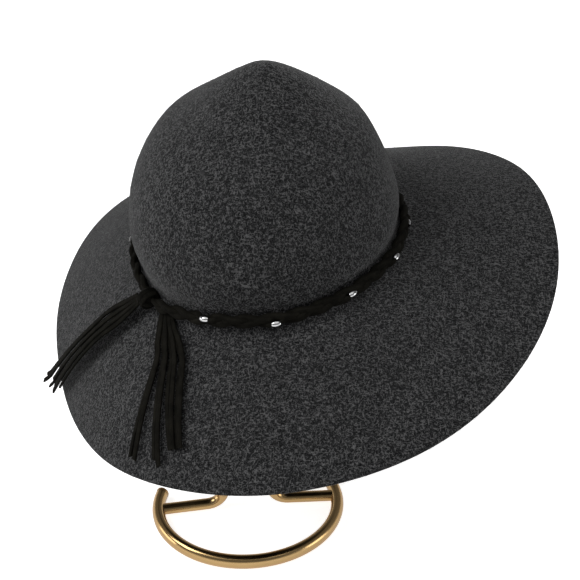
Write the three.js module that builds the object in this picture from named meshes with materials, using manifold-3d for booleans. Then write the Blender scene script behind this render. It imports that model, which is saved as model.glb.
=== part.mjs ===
// A wide-brimmed felt hat with a braided suede band, resting on a stand of bent metal rod.
// Millimetres and degrees, +Z up, the front of the stand faces -Y. Places are first measured from
// the point on the floor that the stand is turned about, and the finished group is then centred
// over the origin.

import * as THREE from 'three';
import { mergeVertices } from 'three/addons/utils/BufferGeometryUtils.js';
import Module from 'manifold-3d';

const wasm = await Module();
wasm.setup();

const DEGREE = Math.PI / 180;
const TURN = 2 * Math.PI;
const GAP = 0.3; // air left between pieces that touch

// Driving dimensions of the felt: one blocked wall, brim and crown in one

const FELT = 2.5;
const HAT_CENTRE = new THREE.Vector3(19.4, -18.7, 266); // middle of the crown's base
const HAT_TURN = 7.5; // the oval's long axis, turned from Y
const HAT_TILT_X = -1.8;
const HAT_TILT_Y = -8.6; // the right side sits higher
const BASE_WIDTH = 167.4;
const BASE_LENGTH = 192.2;
const BASE_BOW = 6.4; // how far the front and the back lie to the left of the oval's long axis
const CROWN_HEIGHT = 123;
const CROWN_LEAN = new THREE.Vector2(-2.4, 5.7); // how far the tip stands off the base's middle
const BRIM_BOW = 5; // how far the brim swells over a straight line, where it droops by BOW_DROOP
const BOW_DROOP = 35;
const CORNER = 10; // the bend between crown and brim starts this far from the corner
const CORNER_CLEAR = 1.4; // crown sections lower than this many corners belong to the bend
const CORNER_GIRTH = 1.012; // the crown's girth and sideways place where that bend starts
const CORNER_SIDEWAYS = -1.7;

// The crown's sections: up is a share of CROWN_HEIGHT, girth a share of the base oval,
// and sideways is how far the section stands to the right of the line from base to tip
const CROWN_SECTIONS = [
  { up: 0.0, girth: 1.0, sideways: 0 },
  { up: 0.14, girth: 1.028, sideways: -1.2 },
  { up: 0.32, girth: 1.034, sideways: -5 },
  { up: 0.5, girth: 0.936, sideways: -5 },
  { up: 0.66, girth: 0.752, sideways: -1.2 },
  { up: 0.8, girth: 0.5, sideways: 1.6 },
  { up: 0.91, girth: 0.268, sideways: 1.6 },
  { up: 0.975, girth: 0.092, sideways: 0 },
  { up: 1.0, girth: 0.0, sideways: 0 },
];

// How steeply the brim falls and how wide it is in each direction, counted from the oval's short axis
const BRIM = [
  { turn: 0, droop: 3.3, width: 102.3 },
  { turn: 30, droop: 10, width: 106 },
  { turn: 60, droop: 21.4, width: 102 },
  { turn: 90, droop: 22.7, width: 109.5 },
  { turn: 120, droop: 23.5, width: 121.2 },
  { turn: 150, droop: 35.1, width: 114.6 },
  { turn: 180, droop: 46.6, width: 113.2 },
  { turn: 210, droop: 46, width: 106.6 },
  { turn: 240, droop: 36.9, width: 102.5 },
  { turn: 270, droop: 31.3, width: 105.2 },
  { turn: 300, droop: 27.1, width: 108.4 },
  { turn: 330, droop: 15.1, width: 107.2 },
];
const FELT_SIDES = 48;
const CROWN_STEPS = 11;
const CORNER_STEPS = 2;
const BRIM_REACHES = [0.2, 0.34, 0.5, 0.68, 0.85, 1];

// Driving dimensions of the band: three strands of suede lace, braided and tied in a knot

const STRAND_RADIUS = 2.1;
const BRAID_RISE = 2.1; // how far a strand swings up and down
const BRAID_DEPTH = 1.3; // how far it swings in and out
const BRAIDS_ROUND = 13; // times that the braid repeats round the crown
const BAND_OUT = 6.1; // the braid's middle from the base oval
const BAND_UP = 5.3;
const BAND_SIDES = 8;
const BAND_STEPS = 6; // sections in each repeat
const OVAL_POINTS = 90; // that the band's line is measured by
const KNOT_SHARE = 0.59; // the knot's place, as a share of the way round

// Where the band strays from its even line: share is the middle of the place and span half its
// length, as shares of the way round, and out and up are how far it strays there
const BAND_STRAYS = [
  { share: 0.607, span: 0.036, out: 2.4, up: 0 },
  { share: 0.69, span: 0.075, out: 0.5, up: 2.2 },
];

// Driving dimensions of the knot

const KNOT_CORE = new THREE.Vector3(5.6, 5, 6.6); // half sizes along the band, outwards and up
const CORE_SIDES = 12;
const CORE_ROWS = 7;
const WRAP_RADIUS = 5;
const WRAP_LACE = 2.1;
const WRAP_SIDES = 6;
const WRAP_STEPS = 13;
const KNOT_OUT = 2; // how far the knot stands out from the braid
const KNOT_WRAPS = [
  { lean: 24, roll: 0 },
  { lean: -30, roll: 18 },
];

// Driving dimensions of the beads: one for each repeat of the braid but the knot's. slip is how far
// a bead sits from its even place, as a share of the way round, and strand is the one it sits on

const BEAD_RADIUS = 2.2;
const BEAD_LENGTH = 5.4;
const BEAD_LIP = 1.7;
const BORE_RADIUS = 1.3;
const THREAD_RADIUS = 0.95;
const THREAD_ROOT = 1.6; // how far the thread runs on into the braid at each end
const BEAD_OUT = 1.5; // how far a bead stands out from its strand
const FIRST_BEAD = 0.0786; // from the knot to the first bead's even place, as a share of the way round
const BEAD_PHASE = -30; // where the first strand is low and outermost
const BEAD_SIDES = 10;
const ROOM_SIDES = 8; // of the pocket in the braid that a bead sits in
const THREAD_SIDES = 6;
const BEADS = [
  { slip: 0.0055, strand: 1 },
  { slip: -0.0025, strand: 0 },
  { slip: 0.0032, strand: 0 },
  { slip: 0, strand: 0 },
  { slip: -0.0105, strand: 0 },
  { slip: -0.004, strand: 0 },
  { slip: 0.003, strand: 0 },
  { slip: -0.002, strand: 0 },
  { slip: -0.006, strand: 0 },
  { slip: -0.018, strand: 2 },
  { slip: -0.032, strand: 1 },
  { slip: -0.05, strand: 2 },
];

// Driving dimensions of the tassels: flat laces that come out at the knot and spread over the brim.
// reach is a share of the brim's width, lift is the height over the felt, and start, near, middle and
// end are directions as for the droop. Each lace goes through all four, and reach is where it ends

const LACE_WIDTH = 3;
const LACE_THICKNESS = 1.4;
const LACE_LIFT = 1.7;
const LAYER_LIFT = 1.2; // every second lace lies this much higher
const LACE_STEPS = 7;
const NORMAL_STEP = 0.02; // over which the brim's slope is measured
const FRONT_TASSEL = {
  startReach: 0.05,
  startLift: 2.6,
  nearReach: 0.21,
  nearLift: 0.8,
  middleReach: 0.4,
  middleLift: 0,
  endLift: 0,
  laces: [
    { start: 217.6, near: 224, middle: 228.6, end: 232.2, reach: 0.912 },
    { start: 218.5, near: 225.4, middle: 229.9, end: 234.1, reach: 0.922 },
    { start: 219.4, near: 227.3, middle: 232.2, end: 239.2, reach: 0.885 },
    { start: 220.3, near: 228.9, middle: 233.7, end: 240.9, reach: 0.915 },
    { start: 221.2, near: 230.7, middle: 235.5, end: 242.6, reach: 0.81 },
    { start: 222.1, near: 232.6, middle: 237.4, end: 243.4, reach: 0.8 },
    { start: 223, near: 234.4, middle: 239, end: 244.2, reach: 0.79 },
    { start: 223.9, near: 235.9, middle: 240.2, end: 245, reach: 0.785 },
  ],
};
const SIDE_TASSEL = {
  startReach: 0.06,
  startLift: 9.5,
  nearReach: 0.24,
  nearLift: 7,
  middleReach: 0.43,
  middleLift: 8,
  endLift: 5,
  laces: [
    { start: 205, near: 197.3, middle: 193.7, end: 177.9, reach: 1.055 },
    { start: 205.7, near: 198.7, middle: 195, end: 179.4, reach: 1.085 },
    { start: 206.4, near: 200.2, middle: 196.2, end: 182.9, reach: 1.05 },
    { start: 207.1, near: 201.6, middle: 197.5, end: 184.4, reach: 0.975 },
    { start: 207.8, near: 203.1, middle: 198.8, end: 185.6, reach: 0.99 },
    { start: 208.5, near: 204.5, middle: 200, end: 187.4, reach: 1.015 },
    { start: 209.2, near: 206, middle: 201.3, end: 189.9, reach: 0.94 },
  ],
};

// Driving dimensions of the stand: an open ring on the floor, and one rod bent up and over

const STAND_TURN = 7;
const RING_HALF_WIDTH = 71;
const RING_HALF_DEPTH = 59;
const RING_FORWARD = 14; // the ring's middle stands this far in front of the stand's own
const RING_ROD_OUT = 5; // half the rod's thickness across
const RING_ROD_UP = 6.2; // and in height
const RING_HALF_SWEEP = 106; // from the front to each end
const ARCH_ROD = 4.5;
const ARCH_HALF_WIDTH = 19;
const ARCH_FORWARD = 9.5; // the uprights stand this far in front of the stand's middle
const ARCH_TOP = 371.9; // over the floor
const FOOT_BEND = 13; // the radius that the rod's middle turns up with
const JOINT_ANGLE = 91.5; // from the front to where the rod meets the ring
const ROD_SIDES = 12;
const RING_HEIGHT = RING_ROD_UP * Math.cos(TURN / ROD_SIDES / 2); // a flat of the rod meets the floor
const RING_STEPS = 18;
const END_ROUNDINGS = [25, 50, 75]; // how far round each section of a domed end lies
const BEND_STEPS = 4;
const ARCH_STEPS = 10;

const FINISHES = {
  felt: { color: 0x37383c, roughness: 0.95, metalness: 0 },
  suede: { color: 0x15130f, roughness: 0.85, metalness: 0 },
  silver: { color: 0xc8c8cb, roughness: 0.15, metalness: 1 },
  gold: { color: 0xb68f4d, roughness: 0.25, metalness: 1 },
};

/** The signed volume of an indexed mesh: negative when its faces point inwards. */
function signedVolume(geometry) {
  const corners = [0, 1, 2].map(() => new THREE.Vector3());
  let volume = 0;
  for (let face = 0; face < geometry.index.count; face += 3) {
    corners.forEach((corner, k) => {
      corner.fromBufferAttribute(geometry.attributes.position, geometry.index.getX(face + k));
    });
    volume += corners[0].dot(corners[1].clone().cross(corners[2])) / 6;
  }
  return volume;
}

/** The same shape with shared vertices merged and every face pointing out. */
function tidied(geometry) {
  const bare = geometry.clone();
  bare.deleteAttribute('normal');
  bare.deleteAttribute('uv');
  const merged = mergeVertices(bare, 1e-4);
  if (signedVolume(merged) < 0) {
    const index = merged.index;
    for (let face = 0; face < index.count; face += 3) {
      const second = index.getX(face + 1);
      index.setX(face + 1, index.getX(face + 2));
      index.setX(face + 2, second);
    }
  }
  merged.computeVertexNormals();
  return merged;
}

/** A closed skin over rings of equal count: walls between them, and a fan to a point at each end. */
function skin(rings, startPoint, endPoint) {
  const sides = rings[0].length;
  const points = rings.flat();
  const triangles = [];
  for (let ring = 0; ring + 1 < rings.length; ring += 1) {
    for (let side = 0; side < sides; side += 1) {
      const next = (side + 1) % sides;
      const here = ring * sides;
      const ahead = here + sides;
      triangles.push(here + side, here + next, ahead + next, here + side, ahead + next, ahead + side);
    }
  }
  const lastRing = (rings.length - 1) * sides;
  points.push(startPoint, endPoint);
  for (let side = 0; side < sides; side += 1) {
    const next = (side + 1) % sides;
    triangles.push(points.length - 2, next, side);
    triangles.push(points.length - 1, lastRing + side, lastRing + next);
  }
  const geometry = new THREE.BufferGeometry();
  geometry.setAttribute('position', new THREE.Float32BufferAttribute(points.flatMap((p) => p.toArray()), 3));
  geometry.setIndex(triangles);
  return tidied(geometry);
}

/** A closed skin over rings that run round and meet again. */
function loopSkin(rings) {
  const sides = rings[0].length;
  const triangles = [];
  for (let ring = 0; ring < rings.length; ring += 1) {
    const here = ring * sides;
    const ahead = ((ring + 1) % rings.length) * sides;
    for (let side = 0; side < sides; side += 1) {
      const next = (side + 1) % sides;
      triangles.push(here + side, here + next, ahead + next, here + side, ahead + next, ahead + side);
    }
  }
  const geometry = new THREE.BufferGeometry();
  const positions = rings.flat().flatMap((p) => p.toArray());
  geometry.setAttribute('position', new THREE.Float32BufferAttribute(positions, 3));
  geometry.setIndex(triangles);
  return tidied(geometry);
}

function middleOf(points) {
  return points.reduce((sum, point) => sum.add(point), new THREE.Vector3()).divideScalar(points.length);
}

function solidOf(geometry) {
  const closed = tidied(geometry);
  return new wasm.Manifold(new wasm.Mesh({
    numProp: 3,
    vertProperties: closed.attributes.position.array,
    triVerts: Uint32Array.from(closed.index.array),
  }));
}

function geometryOf(solid) {
  const mesh = solid.getMesh();
  const geometry = new THREE.BufferGeometry();
  geometry.setAttribute('position', new THREE.BufferAttribute(mesh.vertProperties, mesh.numProp));
  geometry.setIndex(new THREE.BufferAttribute(mesh.triVerts, 1));
  geometry.computeVertexNormals();
  return geometry;
}

/** The largest single body of a solid, without pockets that crossing laces close in. */
function mainBody(solid) {
  return solid.decompose().reduce((best, body) => (body.volume() > best.volume() ? body : best));
}

function mesh(name, geometry, finish) {
  const piece = new THREE.Mesh(geometry, new THREE.MeshStandardMaterial(FINISHES[finish]));
  piece.name = name;
  return piece;
}

/** A share of the way round, brought back between 0 and 1. */
function wrapped(share) {
  return ((share % 1) + 1) % 1;
}

/** The brim's droop or width at an angle of the oval, with a smooth curve between the rows. */
function brimValue(column, angle) {
  const count = BRIM.length;
  const place = wrapped(angle / TURN) * count;
  const row = Math.floor(place);
  const value = (k) => BRIM[(row + k + count) % count][column];
  return smoothBetween(value(-1), value(0), value(1), value(2), place - row);
}

function smoothBetween(before, from, to, after, share) {
  const startSlope = (to - before) / 2;
  const endSlope = (after - from) / 2;
  const cube = 2 * from - 2 * to + startSlope + endSlope;
  const square = 3 * to - 3 * from - 2 * startSlope - endSlope;
  return ((cube * share + square) * share + startSlope) * share + from;
}

/** Turns a point of the hat's own frame to its place. The tilt fades as share goes from base to tip. */
function settle(point, share = 0) {
  const left = (1 - share) * DEGREE;
  const turn = new THREE.Euler(HAT_TILT_X * left, HAT_TILT_Y * left, HAT_TURN * DEGREE, 'YXZ');
  return point.applyEuler(turn);
}

function ovalPoint(angle, girth = 1) {
  const across = (BASE_WIDTH / 2) * Math.cos(angle) - BASE_BOW * Math.sin(angle) ** 2;
  const along = (BASE_LENGTH / 2) * Math.sin(angle);
  return new THREE.Vector3(across, along, 0).multiplyScalar(girth);
}

function ovalOutward(angle) {
  const acrossSlope = -(BASE_WIDTH / 2 + 2 * BASE_BOW * Math.cos(angle)) * Math.sin(angle);
  const alongSlope = (BASE_LENGTH / 2) * Math.cos(angle);
  return new THREE.Vector3(alongSlope, -acrossSlope, 0).normalize();
}

function crownPoint(angle, { up, girth, sideways }) {
  const point = settle(ovalPoint(angle, girth), up).add(HAT_CENTRE);
  point.x += CROWN_LEAN.x * up + sideways;
  point.y += CROWN_LEAN.y * up;
  point.z += CROWN_HEIGHT * up;
  return point;
}

function brimPoint(reach, angle, lift = 0) {
  const droop = brimValue('droop', angle) * DEGREE;
  const length = brimValue('width', angle) * reach;
  const bow = (4 * reach * (1 - reach) * BRIM_BOW * droop) / (BOW_DROOP * DEGREE);
  const height = Math.max(bow, 0) + lift;
  const out = length * Math.cos(droop) + height * Math.sin(droop);
  const point = ovalPoint(angle).addScaledVector(ovalOutward(angle), out);
  point.z += height * Math.cos(droop) - length * Math.sin(droop);
  return settle(point).add(HAT_CENTRE);
}

/** The crown's sections from the base to the tip, smoothed by a curve through the table's rows. */
function crownSections() {
  const rows = CROWN_SECTIONS.map((row) => new THREE.Vector3(row.girth, row.up, row.sideways));
  const places = new THREE.CatmullRomCurve3(rows).getPoints(CROWN_STEPS);
  return places.map((place) => ({ up: place.y, girth: place.x, sideways: place.z }));
}

/** The felt's outer face at one angle, from near the tip down the crown and out to the rim. */
function feltProfile(angle) {
  const cornerUp = CORNER / CROWN_HEIGHT;
  const cornerSection = { up: cornerUp, girth: CORNER_GIRTH, sideways: CORNER_SIDEWAYS };
  const sections = crownSections().slice(0, -1).filter((section) => section.up > cornerUp * CORNER_CLEAR);
  const crown = sections.map((section) => crownPoint(angle, section)).reverse();
  const base = brimPoint(0, angle);
  const onBrim = brimPoint(CORNER / brimValue('width', angle), angle);
  const corner = new THREE.QuadraticBezierCurve3(crownPoint(angle, cornerSection), base, onBrim);
  const brim = BRIM_REACHES.map((reach) => brimPoint(reach, angle));
  return [...crown, ...corner.getPoints(CORNER_STEPS), ...brim];
}

/** The face that lies one felt thickness behind a grid of points, row by row. */
function innerFace(grid) {
  return grid.map((ring, row) => ring.map((point, side) => {
    const above = grid[Math.max(row - 1, 0)][side];
    const below = grid[Math.min(row + 1, grid.length - 1)][side];
    const left = ring[(side + ring.length - 1) % ring.length];
    const right = ring[(side + 1) % ring.length];
    const outward = right.clone().sub(left).cross(above.clone().sub(below)).normalize();
    return point.clone().addScaledVector(outward, -FELT);
  }));
}

function makeFelt() {
  const angles = Array.from({ length: FELT_SIDES }, (_, side) => (side * TURN) / FELT_SIDES);
  const profiles = angles.map(feltProfile);
  const outer = profiles[0].map((_, row) => profiles.map((profile) => profile[row]));
  const inner = innerFace(outer);
  const tip = crownPoint(0, CROWN_SECTIONS[CROWN_SECTIONS.length - 1]);
  const innerTip = tip.clone().add(new THREE.Vector3(0, 0, -FELT));
  return mesh('felt_body', skin([...outer, ...inner.reverse()], tip, innerTip), 'felt');
}

const bandLine = new THREE.CatmullRomCurve3(
  Array.from({ length: OVAL_POINTS }, (_, step) => {
    const angle = (step * TURN) / OVAL_POINTS;
    return ovalPoint(angle).addScaledVector(ovalOutward(angle), BAND_OUT);
  }),
  true,
);

/** How far the band strays at a share of the way round: x outwards and y up. */
function bandStray(share) {
  return BAND_STRAYS.reduce((sum, stray) => {
    const away = Math.min(Math.abs(wrapped(share) - stray.share) / stray.span, 1);
    const weight = Math.cos((away * TURN) / 4) ** 2;
    return sum.add(new THREE.Vector2(stray.out, stray.up).multiplyScalar(weight));
  }, new THREE.Vector2());
}

/** The braid's middle and its directions at a share of the way round. */
function bandFrame(share) {
  const angle = TURN * bandLine.getUtoTmapping(wrapped(share));
  const stray = bandStray(share);
  const centre = ovalPoint(angle).addScaledVector(ovalOutward(angle), BAND_OUT + stray.x);
  centre.z += BAND_UP + stray.y;
  const out = settle(ovalOutward(angle));
  const up = settle(new THREE.Vector3(0, 0, 1));
  const along = up.clone().cross(out);
  return { centre: settle(centre).add(HAT_CENTRE), out, up, along };
}

/** Where each strand is at a phase of the braid: x outwards and y up from the middle. */
function strandPlaces(phase) {
  return [0, 1, 2].map((strand) => {
    const swing = phase + (strand * TURN) / 3;
    return new THREE.Vector2(-BRAID_DEPTH * Math.sin(2 * swing), BRAID_RISE * Math.sin(swing));
  });
}

function braidPhase(share) {
  return TURN * BRAIDS_ROUND * (share - KNOT_SHARE - FIRST_BEAD) + BEAD_PHASE * DEGREE;
}

/** One section of the braid: the outline that wraps its three round strands. */
function braidSection(share) {
  const { centre, out, up } = bandFrame(share);
  const strands = strandPlaces(braidPhase(share));
  return Array.from({ length: BAND_SIDES }, (_, side) => {
    const angle = (side * TURN) / BAND_SIDES;
    const direction = new THREE.Vector2(Math.cos(angle), Math.sin(angle));
    const reach = STRAND_RADIUS + Math.max(...strands.map((place) => place.dot(direction)));
    const point = centre.clone().addScaledVector(out, direction.x * reach);
    return point.addScaledVector(up, direction.y * reach);
  });
}

/** The matrix that stands a turned shape, whose axis is Y, along the braid at a bead's place. */
function beadMatrix(bead) {
  const { slip, strand } = BEADS[bead];
  const share = KNOT_SHARE + FIRST_BEAD + bead / BRAIDS_ROUND + slip;
  const { centre, out, up, along } = bandFrame(share);
  const carrier = strandPlaces(braidPhase(share))[strand];
  const place = centre.clone().addScaledVector(out, carrier.x + BEAD_OUT).addScaledVector(up, carrier.y);
  return new THREE.Matrix4().makeBasis(out, along, out.clone().cross(along)).setPosition(place);
}

function makeKnotSolid(extra) {
  const { centre, out, up, along } = bandFrame(KNOT_SHARE);
  const core = new THREE.SphereGeometry(1, CORE_SIDES, CORE_ROWS);
  core.scale(KNOT_CORE.x + extra, KNOT_CORE.y + extra, KNOT_CORE.z + extra);
  let solid = solidOf(core);
  KNOT_WRAPS.forEach((wrap) => {
    const ring = new THREE.TorusGeometry(WRAP_RADIUS, WRAP_LACE + extra, WRAP_SIDES, WRAP_STEPS);
    ring.rotateY(90 * DEGREE);
    ring.rotateY(wrap.lean * DEGREE);
    ring.rotateX(wrap.roll * DEGREE);
    solid = solid.add(solidOf(ring));
  });
  const place = centre.clone().addScaledVector(out, KNOT_OUT);
  const frame = new THREE.Matrix4().makeBasis(along, out.clone().negate(), up).setPosition(place);
  return solid.transform(frame.elements);
}

function makeBand() {
  const count = BRAIDS_ROUND * BAND_STEPS;
  const rings = Array.from({ length: count }, (_, step) => braidSection(step / count));
  let solid = solidOf(loopSkin(rings)).subtract(makeKnotSolid(GAP));
  const roomLength = BEAD_LENGTH + 2 * GAP;
  const roomRadius = (BEAD_RADIUS + GAP) / Math.cos(TURN / ROOM_SIDES / 2);
  const room = new THREE.CylinderGeometry(roomRadius, roomRadius, roomLength, ROOM_SIDES);
  const threadLength = roomLength + 2 * THREAD_ROOT;
  const thread = new THREE.CylinderGeometry(THREAD_RADIUS, THREAD_RADIUS, threadLength, THREAD_SIDES);
  BEADS.forEach((_, bead) => {
    const matrix = beadMatrix(bead);
    solid = solid.subtract(solidOf(room.clone().applyMatrix4(matrix)));
    solid = solid.add(solidOf(thread.clone().applyMatrix4(matrix)));
  });
  return mesh('band', geometryOf(mainBody(solid)), 'suede');
}

function makeBead(bead) {
  const end = BEAD_LENGTH / 2;
  const belly = BEAD_LENGTH / 5;
  const profile = [
    new THREE.Vector2(BORE_RADIUS, -end),
    new THREE.Vector2(BEAD_LIP, -end),
    new THREE.Vector2(BEAD_RADIUS, -belly),
    new THREE.Vector2(BEAD_RADIUS, belly),
    new THREE.Vector2(BEAD_LIP, end),
    new THREE.Vector2(BORE_RADIUS, end),
    new THREE.Vector2(BORE_RADIUS, -end),
  ];
  const piece = mesh(`bead_${bead + 1}`, tidied(new THREE.LatheGeometry(profile, BEAD_SIDES)), 'silver');
  piece.applyMatrix4(beadMatrix(bead));
  return piece;
}

function brimNormal(reach, angle) {
  const out = brimPoint(reach + NORMAL_STEP, angle).sub(brimPoint(reach - NORMAL_STEP, angle));
  const round = brimPoint(reach, angle + NORMAL_STEP).sub(brimPoint(reach, angle - NORMAL_STEP));
  return out.cross(round).normalize();
}

/** One flat lace from the knot to its own end, as a closed solid. */
function makeLace(tassel, lace, layer) {
  const stack = LACE_LIFT + layer * LAYER_LIFT;
  const stops = [
    { reach: tassel.startReach, turn: lace.start, lift: tassel.startLift },
    { reach: tassel.nearReach, turn: lace.near, lift: stack + tassel.nearLift },
    { reach: tassel.middleReach, turn: lace.middle, lift: stack + tassel.middleLift },
    { reach: lace.reach, turn: lace.end, lift: stack + tassel.endLift },
  ];
  const stations = new THREE.CatmullRomCurve3(
    stops.map((stop) => new THREE.Vector3(stop.reach, stop.turn * DEGREE, stop.lift)),
  ).getPoints(LACE_STEPS);
  const centres = stations.map((at) => brimPoint(at.x, at.y, at.z));
  const rings = centres.map((centre, step) => {
    const ahead = centres[Math.min(step + 1, LACE_STEPS)];
    const behind = centres[Math.max(step - 1, 0)];
    const normal = brimNormal(stations[step].x, stations[step].y);
    const side = ahead.clone().sub(behind).cross(normal).normalize();
    return [[-1, -1], [1, -1], [1, 1], [-1, 1]].map(([across, over]) => centre.clone()
      .addScaledVector(side, (across * LACE_WIDTH) / 2)
      .addScaledVector(normal, (over * LACE_THICKNESS) / 2));
  });
  return skin(rings, middleOf(rings[0]), middleOf(rings[LACE_STEPS]));
}

function makeTassel(name, tassel) {
  const laces = tassel.laces.map((lace, number) => solidOf(makeLace(tassel, lace, number % 2)));
  const bundle = laces.reduce((sum, lace) => sum.add(lace));
  return mesh(name, geometryOf(mainBody(bundle.subtract(makeKnotSolid(GAP)))), 'suede');
}

/** A rod of oval section along a line of points. The frame is carried along from the first side. */
function rodGeometry(points, halfUp, halfOut, sizes, firstSide) {
  const directions = points.map((point, k) => points[Math.min(k + 1, points.length - 1)].clone()
    .sub(points[Math.max(k - 1, 0)]).normalize());
  const side = firstSide.clone();
  const rings = points.map((point, k) => {
    if (k > 0) {
      side.applyQuaternion(new THREE.Quaternion().setFromUnitVectors(directions[k - 1], directions[k]));
    }
    const other = directions[k].clone().cross(side);
    return Array.from({ length: ROD_SIDES }, (_, corner) => {
      const angle = ((corner + 0.5) * TURN) / ROD_SIDES;
      return point.clone()
        .addScaledVector(side, sizes[k] * halfUp * Math.cos(angle))
        .addScaledVector(other, sizes[k] * halfOut * Math.sin(angle));
    });
  });
  return skin(rings, middleOf(rings[0]), middleOf(rings[rings.length - 1]));
}

function ringPoint(angle, height) {
  const across = RING_HALF_WIDTH * Math.sin(angle * DEGREE);
  const along = -RING_FORWARD - RING_HALF_DEPTH * Math.cos(angle * DEGREE);
  return new THREE.Vector3(across, along, height);
}

/** The open ring, its flats level with the floor and its ends rounded. */
function makeRing() {
  const stations = [];
  for (let step = 0; step <= RING_STEPS; step += 1) {
    stations.push({ angle: RING_HALF_SWEEP * ((2 * step) / RING_STEPS - 1), size: 1 });
  }
  END_ROUNDINGS.forEach((rounding) => {
    const past = (RING_ROD_OUT * Math.sin(rounding * DEGREE)) / RING_HALF_DEPTH / DEGREE;
    const size = Math.cos(rounding * DEGREE);
    stations.unshift({ angle: -RING_HALF_SWEEP - past, size });
    stations.push({ angle: RING_HALF_SWEEP + past, size });
  });
  const points = stations.map((station) => ringPoint(station.angle, RING_HEIGHT));
  const sizes = stations.map((station) => station.size);
  return rodGeometry(points, RING_ROD_UP, RING_ROD_OUT, sizes, new THREE.Vector3(0, 0, 1));
}

/** The rod from the ring's left end in to the foot, up, over in an arch, and down to the right end. */
function makeArch() {
  const left = ringPoint(-JOINT_ANGLE, RING_HEIGHT);
  const foot = new THREE.Vector3(-ARCH_HALF_WIDTH, -ARCH_FORWARD, RING_HEIGHT);
  const shoulder = foot.clone().setZ(ARCH_TOP - ARCH_ROD - ARCH_HALF_WIDTH);
  const inwards = foot.clone().sub(left).normalize();
  const bendMiddle = foot.clone().addScaledVector(inwards, -FOOT_BEND).setZ(RING_HEIGHT + FOOT_BEND);
  const bend = Array.from({ length: BEND_STEPS + 1 }, (_, step) => {
    const angle = (90 * DEGREE * step) / BEND_STEPS;
    const point = bendMiddle.clone().addScaledVector(inwards, FOOT_BEND * Math.sin(angle));
    return point.setZ(bendMiddle.z - FOOT_BEND * Math.cos(angle));
  });
  const climb = [left, ...bend, shoulder];
  const top = Array.from({ length: ARCH_STEPS - 1 }, (_, step) => {
    const angle = 180 * DEGREE * ((step + 1) / ARCH_STEPS);
    const across = -ARCH_HALF_WIDTH * Math.cos(angle);
    return new THREE.Vector3(across, -ARCH_FORWARD, shoulder.z + ARCH_HALF_WIDTH * Math.sin(angle));
  });
  const descent = climb.map((point) => new THREE.Vector3(-point.x, point.y, point.z)).reverse();
  const points = [...climb, ...top, ...descent];
  return rodGeometry(points, ARCH_ROD, ARCH_ROD, points.map(() => 1), new THREE.Vector3(0, 0, 1));
}

function makeStand() {
  const stand = mesh('stand', geometryOf(solidOf(makeRing()).add(solidOf(makeArch()))), 'gold');
  stand.rotation.z = STAND_TURN * DEGREE;
  return stand;
}

const hat = new THREE.Group();
hat.add(makeFelt());
hat.add(makeBand());
hat.add(mesh('knot', geometryOf(makeKnotSolid(0)), 'suede'));
hat.add(makeTassel('tassel_front', FRONT_TASSEL));
hat.add(makeTassel('tassel_side', SIDE_TASSEL));
BEADS.forEach((_, bead) => hat.add(makeBead(bead)));

const part = new THREE.Group();
part.add(hat, makeStand());
part.updateMatrixWorld(true);
const box = new THREE.Box3().setFromObject(part, true);
const middle = box.getCenter(new THREE.Vector3());
part.position.set(-middle.x, -middle.y, -box.min.z);

export default part;
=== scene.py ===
# %% [markdown]
# The object is a wide-brimmed hat of charcoal wool felt with a braided suede band and two
# tassels. It rests on a stand of gold metal rod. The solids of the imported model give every
# piece its place, so they are loaded first and nothing has to be fitted by eye.

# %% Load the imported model
import math

import bmesh
import bpy
import numpy as np
from mathutils import Matrix, Vector


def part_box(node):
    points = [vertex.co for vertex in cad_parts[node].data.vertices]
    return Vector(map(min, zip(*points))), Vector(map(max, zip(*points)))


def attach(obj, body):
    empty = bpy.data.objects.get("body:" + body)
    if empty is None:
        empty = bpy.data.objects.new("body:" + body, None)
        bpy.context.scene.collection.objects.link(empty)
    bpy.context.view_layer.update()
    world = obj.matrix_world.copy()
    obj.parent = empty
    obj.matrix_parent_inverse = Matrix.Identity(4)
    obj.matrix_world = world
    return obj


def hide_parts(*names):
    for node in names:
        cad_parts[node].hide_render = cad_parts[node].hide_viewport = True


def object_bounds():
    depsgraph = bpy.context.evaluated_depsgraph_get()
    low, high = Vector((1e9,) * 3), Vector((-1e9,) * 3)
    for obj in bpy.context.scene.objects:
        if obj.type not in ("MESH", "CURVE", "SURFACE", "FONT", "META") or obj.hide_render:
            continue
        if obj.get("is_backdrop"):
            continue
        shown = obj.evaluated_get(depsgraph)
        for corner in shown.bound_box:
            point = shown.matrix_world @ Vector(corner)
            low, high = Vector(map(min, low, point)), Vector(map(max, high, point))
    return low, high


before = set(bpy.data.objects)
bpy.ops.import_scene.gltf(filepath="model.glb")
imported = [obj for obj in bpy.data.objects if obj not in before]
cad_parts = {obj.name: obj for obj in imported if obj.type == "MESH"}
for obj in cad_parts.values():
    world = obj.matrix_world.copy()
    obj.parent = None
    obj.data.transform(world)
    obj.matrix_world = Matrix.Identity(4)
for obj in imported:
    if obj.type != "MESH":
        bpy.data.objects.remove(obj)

packed_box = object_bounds()
print("packed solids:", len(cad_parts))
print("their box:", [tuple(round(side, 4) for side in corner) for corner in packed_box])

# %% [markdown]
# An operator works on all that is selected, and the loaded solids come in selected. So each
# step starts by letting everything go, and then selects what it needs by place or direction.

# %% Small helpers
MM = 0.001
TURN = 2 * math.pi
# vertices nearer than this are merged, in the felt's solid and in a finished piece
SOLID_GAP = 0.01 * MM
SEAM_GAP = 0.004 * MM
# a face looks along an axis when at least this much of its normal does
ALONG = 0.99


def let_go():
    """Leaves edit mode and deselects every object."""
    if bpy.context.object and bpy.context.object.mode != "OBJECT":
        bpy.ops.object.mode_set(mode="OBJECT")
    bpy.ops.object.select_all(action="DESELECT")


def add_object(name, data):
    """A new object in the scene, standing at the origin."""
    piece = bpy.data.objects.new(name, data)
    bpy.context.scene.collection.objects.link(piece)
    return piece


def take(piece):
    """Makes one object the only selected one."""
    let_go()
    piece.select_set(True)
    bpy.context.view_layer.objects.active = piece


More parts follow.
